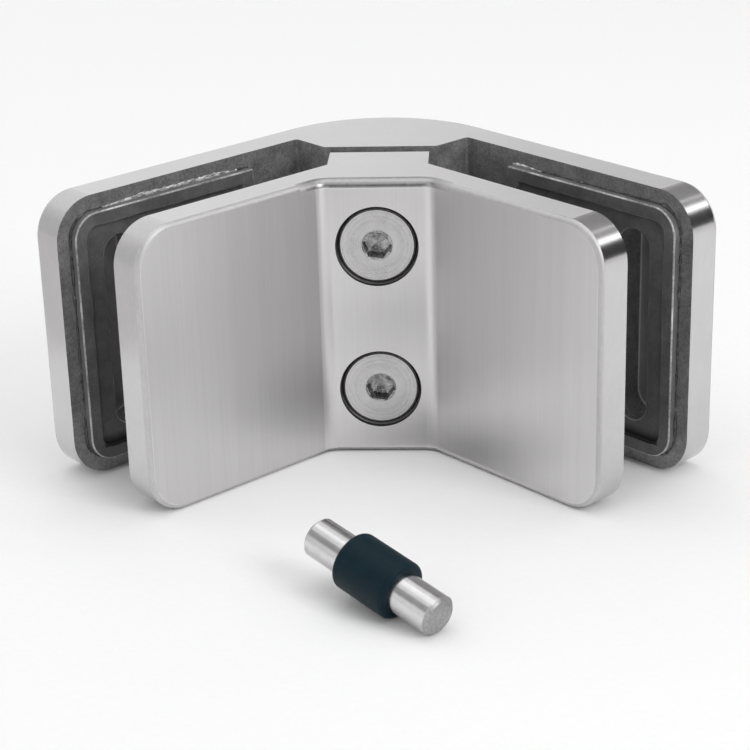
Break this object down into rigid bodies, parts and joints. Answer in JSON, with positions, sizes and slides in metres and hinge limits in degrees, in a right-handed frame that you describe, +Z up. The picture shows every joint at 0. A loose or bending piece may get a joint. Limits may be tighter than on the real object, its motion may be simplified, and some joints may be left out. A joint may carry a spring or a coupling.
{
  "type": "glass clamp",
  "caption": "Right-angle corner clamp for glass panes: cast rear and front halves with rubber pads, drawn together by countersunk screws, and a loose safety pin with a rubber sleeve.",
  "frame": {"origin": "at the base, where the middle planes of the two glass panes cross", "axes": "+X along the right wing as seen from the screw side, -Y along the left wing, +Z up"},
  "size_m": [0.081, 0.0721, 0.045],
  "materials": {
    "cast_steel": "satin brushed outside, as cast inside",
    "screw_steel": "turned",
    "pad_rubber": "matt moulded",
    "pin_steel": "ground",
    "sleeve_rubber": "matt moulded"
  },
  "bodies": {
    "rear": {"rear_half": "cast_steel", "pad_rear_right": "pad_rubber", "pad_rear_left": "pad_rubber", "safety_pin": "pin_steel", "pin_sleeve": "sleeve_rubber"},
    "front": {"front_half": "cast_steel", "pad_front_right": "pad_rubber", "pad_front_left": "pad_rubber"},
    "upper_screw": {"screw_upper": "screw_steel"},
    "lower_screw": {"screw_lower": "screw_steel"}
  },
  "joints": [
    {"name": "clamp_slide", "type": "slide", "parent": "rear", "child": "front", "axis": [0.7071, -0.7071, 0], "range_m": [-0.002, 0.006]},
    {"name": "upper_screw_turn", "type": "hinge", "parent": "front", "child": "upper_screw", "pos_m": [0, 0, 0.0343], "axis": [0.7071, -0.7071, 0], "range_deg": [-730, 2170]},
    {"name": "lower_screw_turn", "type": "hinge", "parent": "front", "child": "lower_screw", "pos_m": [0, 0, 0.0107], "axis": [0.7071, -0.7071, 0], "range_deg": [-730, 2170]}
  ],
  "couplings": [
    {"joint": "upper_screw_turn", "follows": "clamp_slide", "rad_per_m": 6283.2},
    {"joint": "lower_screw_turn", "follows": "clamp_slide", "rad_per_m": 6283.2}
  ]
}
